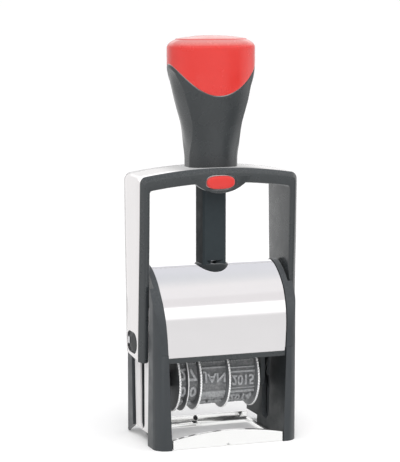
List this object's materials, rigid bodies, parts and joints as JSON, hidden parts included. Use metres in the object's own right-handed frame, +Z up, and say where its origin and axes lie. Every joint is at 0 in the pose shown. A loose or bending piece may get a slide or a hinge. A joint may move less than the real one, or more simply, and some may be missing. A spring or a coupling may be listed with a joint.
{
  "type": "rotary date stamp",
  "caption": "Self-inking rotary date stamp: a press bow slides down over a two-cheek base and flips the milled date wheels from the ink pad to the paper.",
  "frame": {"origin": "centre of the base's footprint on the desk plane", "axes": "+Z up along the press column, +X towards the right side frame as seen from the front, -Y towards the user and the front date window"},
  "size_m": [0.07, 0.0436, 0.1701],
  "materials": {
    "dark_plastic": "fine satin moulded ABS, charcoal",
    "handle_plastic": "smooth semi-gloss charcoal",
    "column_plastic": "smooth semi-gloss black",
    "black_plastic": "satin moulded black",
    "red_plastic": "glossy red",
    "polished_strip": "satin polished metal band",
    "cover_metal": "bright satin plated sheet",
    "liner_metal": "bright sheet",
    "bright_plate": "bright plated frame",
    "plate_aluminium": "fine brushed",
    "pin_steel": "turned steel",
    "spring_steel": "drawn wire",
    "band_rubber": "matt grey rubber with raised characters",
    "die_rubber": "matt rubber",
    "wheel_plastic": "off-white moulded, milled rims",
    "ink_felt": "ink-soaked felt"
  },
  "bodies": {
    "base": {"side_frame_left": "dark_plastic", "side_frame_right": "dark_plastic", "side_liner_left": "liner_metal", "side_liner_right": "liner_metal", "upper_housing": "dark_plastic", "front_cover": "cover_metal", "rear_cover": "cover_metal", "bottom_frame": "bright_plate", "guide_column": "column_plastic", "column_collar": "column_plastic"},
    "pad": {"pad_cassette": "black_plastic", "ink_pad": "ink_felt"},
    "bow": {"bow_frame": "dark_plastic", "bow_strip": "polished_strip", "handle_body": "handle_plastic", "handle_cap": "red_plastic", "pivot_pins": "pin_steel", "pivot_caps": "black_plastic", "return_spring": "spring_steel"},
    "lock": {"lock_button": "red_plastic"},
    "carriage": {"carriage_frame": "black_plastic", "text_plate": "plate_aluminium", "text_die": "die_rubber", "band_bridge": "black_plastic", "wheel_axle": "pin_steel", "axle_spacers": "black_plastic", "cam_pins": "pin_steel", "day_tens_band": "band_rubber", "day_units_band": "band_rubber", "month_band": "band_rubber", "year_band": "band_rubber"},
    "day_tens": {"day_tens_wheel": "wheel_plastic"},
    "day_units": {"day_units_wheel": "wheel_plastic"},
    "month": {"month_wheel": "wheel_plastic"},
    "year": {"year_wheel": "wheel_plastic"}
  },
  "joints": [
    {"name": "press", "type": "slide", "parent": "base", "child": "bow", "axis": [0, 0, -1], "range_m": [0, 0.0322], "stiffness_N_per_m": 180, "springref_m": -0.03, "deforming": ["return_spring"]},
    {"name": "flip", "type": "hinge", "parent": "bow", "child": "carriage", "pos_m": [0, 0, 0.0424], "axis": [1, 0, 0], "range_deg": [0, 180]},
    {"name": "lock_push", "type": "slide", "parent": "bow", "child": "lock", "axis": [0, 1, 0], "range_m": [0, 0.003]},
    {"name": "pad_draw", "type": "slide", "parent": "base", "child": "pad", "axis": [0, 1, 0], "range_m": [0, 0.035]},
    {"name": "day_tens_spin", "type": "hinge", "parent": "carriage", "child": "day_tens", "pos_m": [-0.017, 0, 0.0258], "axis": [1, 0, 0], "continuous": true},
    {"name": "day_units_spin", "type": "hinge", "parent": "carriage", "child": "day_units", "pos_m": [-0.012, 0, 0.0258], "axis": [1, 0, 0], "continuous": true},
    {"name": "month_spin", "type": "hinge", "parent": "carriage", "child": "month", "pos_m": [-0.002, 0, 0.0258], "axis": [1, 0, 0], "continuous": true},
    {"name": "year_spin", "type": "hinge", "parent": "carriage", "child": "year", "pos_m": [0.01, 0, 0.0258], "axis": [1, 0, 0], "continuous": true}
  ],
  "couplings": [
    {"joint": "flip", "follows": "press", "rad_per_m": 97.56}
  ]
}
